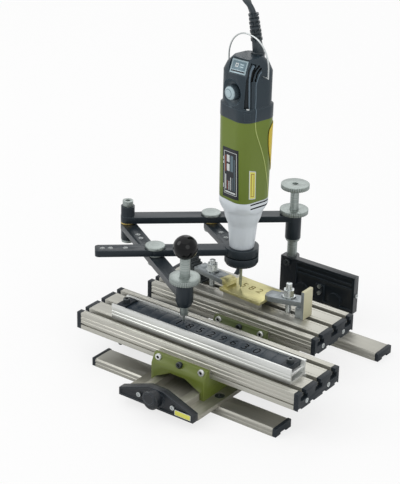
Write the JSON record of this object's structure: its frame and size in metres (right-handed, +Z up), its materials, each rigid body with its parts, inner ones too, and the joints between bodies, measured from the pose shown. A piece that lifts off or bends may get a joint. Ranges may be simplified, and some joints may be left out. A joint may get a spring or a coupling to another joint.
{
  "type": "engraving machine",
  "caption": "Bench pantograph engraving machine with two T-slot cross tables, template rail, jointed arms, ball knob stylus and an upright electric engraving tool.",
  "frame": {"origin": "on the bench under the middle of the base rail", "axes": "+X to the right along the tables, +Y from the operator to the column, +Z up"},
  "size_m": [0.2996, 0.2988, 0.3715],
  "materials": {
    "alloy": "satin anodised extrusion",
    "steel": "turned and brushed",
    "black_steel": "black oxide, satin",
    "arm_black": "satin black",
    "saddle_green": "satin olive green paint",
    "cap_black": "matt black moulding",
    "tile_black": "satin slate black",
    "brass": "turned, clean",
    "tool_grey": "die-cast, painted silver grey",
    "tool_green": "satin green moulding",
    "tool_black": "satin black moulding",
    "knob_black": "polished",
    "cord_rubber": "matt",
    "phenolic": "pale beige laminate, matt",
    "tool_steel": "ground"
  },
  "bodies": {
    "frame": {"base_rail": "alloy", "front_foot": "alloy", "rear_foot": "alloy", "foot_caps": "cap_black", "foot_screws": "black_steel", "front_end_plate": "cap_black", "end_plate_screws": "steel", "back_plate": "cap_black", "back_plate_screws": "steel", "column_clamp_screw": "black_steel", "column_rod": "steel"},
    "top_disc": {"column_top_disc": "steel"},
    "front_slide": {"front_saddle": "saddle_green", "front_gib": "steel", "front_saddle_screws": "steel"},
    "front_cross_table": {"front_table": "alloy", "front_table_caps": "cap_black", "front_cap_screws": "steel", "template_rail": "alloy", "template_tiles": "tile_black", "template_stops": "cap_black"},
    "rear_slide": {"rear_saddle": "saddle_green", "rear_gib": "steel", "rear_saddle_screws": "steel"},
    "rear_cross_table": {"rear_table": "alloy", "rear_table_caps": "cap_black", "rear_cap_screws": "steel", "engraved_plate": "brass", "plate_packing": "alloy", "clamp_bars": "steel", "clamp_studs": "steel", "clamp_nuts": "steel", "step_block": "black_steel", "heel_block": "phenolic"},
    "arm_lift": {"column_bush": "steel"},
    "height_nut": {"column_nut": "steel"},
    "upper_arm": {"main_arm": "arm_black", "elbow_pivot": "steel", "middle_pivot": "steel", "arm_washers": "brass"},
    "outer_arm": {"stylus_arm": "arm_black"},
    "tool_carrier": {"tool_bar": "arm_black", "inner_pivot": "steel", "tool_head": "tool_grey", "holder_nut": "cap_black", "tool_body": "tool_green", "tool_cap": "tool_black", "cord_protector": "cord_rubber", "cord": "cord_rubber", "cord_coil": "cord_rubber", "mains_plug": "cord_rubber"},
    "link": {"short_link": "arm_black"},
    "stylus": {"stylus_rod": "steel", "ball_knob": "knob_black", "stylus_pin": "tool_steel"},
    "stylus_lock": {"stylus_nut": "steel"},
    "dial": {"speed_dial": "tool_black"},
    "bail": {"wire_bail": "steel"},
    "cutter_spindle": {"spindle": "tool_steel"}
  },
  "joints": [
    {"name": "column_disc_turn", "type": "hinge", "parent": "frame", "child": "top_disc", "pos_m": [-0.0297, 0.1368, 0.1395], "axis": [0, 0, 1], "continuous": true},
    {"name": "front_saddle_travel", "type": "slide", "parent": "frame", "child": "front_slide", "axis": [0, 1, 0], "range_m": [-0.005, 0.009]},
    {"name": "front_table_travel", "type": "slide", "parent": "front_slide", "child": "front_cross_table", "axis": [1, 0, 0], "range_m": [-0.06, 0.06]},
    {"name": "rear_saddle_travel", "type": "slide", "parent": "frame", "child": "rear_slide", "axis": [0, 1, 0], "range_m": [-0.009, 0.04]},
    {"name": "rear_table_travel", "type": "slide", "parent": "rear_slide", "child": "rear_cross_table", "axis": [1, 0, 0], "range_m": [-0.03, 0.008]},
    {"name": "arm_height", "type": "slide", "parent": "frame", "child": "arm_lift", "axis": [0, 0, 1], "range_m": [0, 0.01]},
    {"name": "height_nut_turn", "type": "hinge", "parent": "arm_lift", "child": "height_nut", "pos_m": [-0.0297, 0.1368, 0.111], "axis": [0, 0, 1], "continuous": true},
    {"name": "upper_arm_swing", "type": "hinge", "parent": "arm_lift", "child": "upper_arm", "pos_m": [-0.0297, 0.1368, 0.104], "axis": [0, 0, 1], "range_deg": [-4.5, 8]},
    {"name": "outer_arm_swing", "type": "hinge", "parent": "upper_arm", "child": "outer_arm", "pos_m": [-0.16181, 0.02356, 0.096], "axis": [0, 0, 1], "range_deg": [-5.5, 2]},
    {"name": "tool_bar_swing", "type": "hinge", "parent": "outer_arm", "child": "tool_carrier", "pos_m": [-0.09179, -0.02053, 0.104], "axis": [0, 0, 1], "range_deg": [-2, 5.5]},
    {"name": "short_link_swing", "type": "hinge", "parent": "upper_arm", "child": "link", "pos_m": [-0.09576, 0.08018, 0.096], "axis": [0, 0, 1], "range_deg": [-5.5, 2]},
    {"name": "stylus_height", "type": "slide", "parent": "outer_arm", "child": "stylus", "axis": [0, 0, 1], "range_m": [0, 0.008]},
    {"name": "stylus_nut_turn", "type": "hinge", "parent": "outer_arm", "child": "stylus_lock", "pos_m": [-0.02177, -0.06463, 0.1115], "axis": [0, 0, 1], "continuous": true},
    {"name": "speed_dial_turn", "type": "hinge", "parent": "tool_carrier", "child": "dial", "pos_m": [-0.0309, 0.01625, 0.2754], "axis": [0.2521, 0.9677, 0], "range_deg": [-150, 150]},
    {"name": "bail_swing", "type": "hinge", "parent": "tool_carrier", "child": "bail", "pos_m": [-0.02573, 0.03609, 0.2934], "axis": [0.9677, -0.2521, 0], "range_deg": [-3, 80]},
    {"name": "spindle_turn", "type": "hinge", "parent": "tool_carrier", "child": "cutter_spindle", "pos_m": [-0.02573, 0.03609, 0.09], "axis": [0, 0, 1], "continuous": true}
  ],
  "couplings": [
    {"joint": "tool_bar_swing", "follows": "outer_arm_swing", "ratio": -1},
    {"joint": "short_link_swing", "follows": "outer_arm_swing", "ratio": 1}
  ]
}
